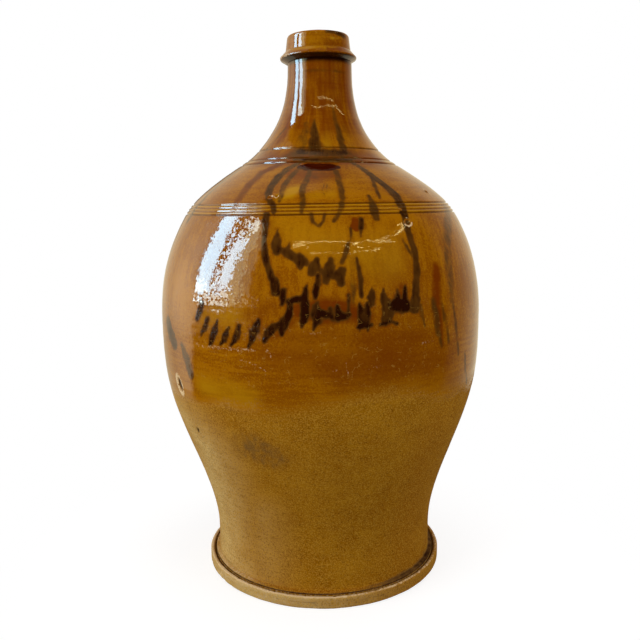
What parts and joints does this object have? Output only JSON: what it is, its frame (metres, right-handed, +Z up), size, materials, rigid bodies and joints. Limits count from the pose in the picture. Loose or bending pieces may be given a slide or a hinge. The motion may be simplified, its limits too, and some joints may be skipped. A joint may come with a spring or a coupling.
{
  "type": "ceramic bottle",
  "caption": "Large thrown earthenware bottle with a ringed foot, swelling belly, grooved shoulder, slim neck, collar and rounded lip, amber glaze over bare clay.",
  "frame": {"origin": "centre of the underside of the foot", "axes": "+Z up along the axis of the bottle towards the mouth, -Y towards the picture's camera"},
  "size_m": [0.2622, 0.2622, 0.436],
  "materials": {
    "amber_glaze": "gloss",
    "brown_glaze": "gloss",
    "bare_clay": "matte",
    "worn_clay": "matte"
  },
  "bodies": {
    "root": {"floor_disc": "worn_clay", "foot_ring": "worn_clay", "lower_wall": "bare_clay", "upper_wall": "amber_glaze", "shoulder": "amber_glaze", "neck": "brown_glaze", "collar_ring": "brown_glaze", "lip": "amber_glaze"}
  },
  "joints": []
}
